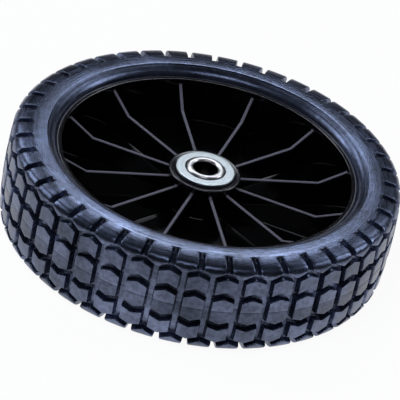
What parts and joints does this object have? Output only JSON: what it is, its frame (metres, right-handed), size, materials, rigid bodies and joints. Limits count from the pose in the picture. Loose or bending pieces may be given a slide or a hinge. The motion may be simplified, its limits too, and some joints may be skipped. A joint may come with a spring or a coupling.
{
  "type": "wheel",
  "caption": "Garden machine wheel with a block-tread rubber tyre, ribbed black plastic rim and flanged ball bearings for an axle.",
  "frame": {"origin": "centre of the wheel: on the axle's axis, at the tyre's mid-plane", "axes": "+Z along the axle towards the deep-ribbed face, the wheel lying on its side; +X along one rib"},
  "size_m": [0.2, 0.2, 0.0508],
  "materials": {
    "tread_rubber": "satin moulded rubber",
    "rim_plastic": "smooth moulded black",
    "zinc_plated_steel": "bluish zinc plate",
    "polished_steel": "polished",
    "ball_steel": "polished"
  },
  "bodies": {
    "wheel": {"tyre": "tread_rubber", "rim": "rim_plastic", "front_outer_race": "zinc_plated_steel", "front_retaining_ring": "zinc_plated_steel", "back_outer_race": "zinc_plated_steel", "back_retaining_ring": "zinc_plated_steel"},
    "front_inner": {"front_inner_race": "polished_steel"},
    "front_balls": {"front_ball_01": "ball_steel", "front_ball_02": "ball_steel", "front_ball_03": "ball_steel", "front_ball_04": "ball_steel", "front_ball_05": "ball_steel", "front_ball_06": "ball_steel", "front_ball_07": "ball_steel", "front_ball_08": "ball_steel", "front_ball_09": "ball_steel", "front_ball_10": "ball_steel", "front_ball_11": "ball_steel", "front_ball_12": "ball_steel"},
    "back_inner": {"back_inner_race": "polished_steel"},
    "back_balls": {"back_ball_01": "ball_steel", "back_ball_02": "ball_steel", "back_ball_03": "ball_steel", "back_ball_04": "ball_steel", "back_ball_05": "ball_steel", "back_ball_06": "ball_steel", "back_ball_07": "ball_steel", "back_ball_08": "ball_steel", "back_ball_09": "ball_steel", "back_ball_10": "ball_steel", "back_ball_11": "ball_steel", "back_ball_12": "ball_steel"}
  },
  "joints": [
    {"name": "front_race_spin", "type": "hinge", "parent": "wheel", "child": "front_inner", "pos_m": [0, 0, 0.00925], "axis": [0, 0, 1], "continuous": true},
    {"name": "front_ball_orbit", "type": "hinge", "parent": "wheel", "child": "front_balls", "pos_m": [0, 0, 0.00925], "axis": [0, 0, 1], "continuous": true},
    {"name": "back_race_spin", "type": "hinge", "parent": "wheel", "child": "back_inner", "pos_m": [0, 0, -0.00925], "axis": [0, 0, 1], "continuous": true},
    {"name": "back_ball_orbit", "type": "hinge", "parent": "wheel", "child": "back_balls", "pos_m": [0, 0, -0.00925], "axis": [0, 0, 1], "continuous": true}
  ]
}
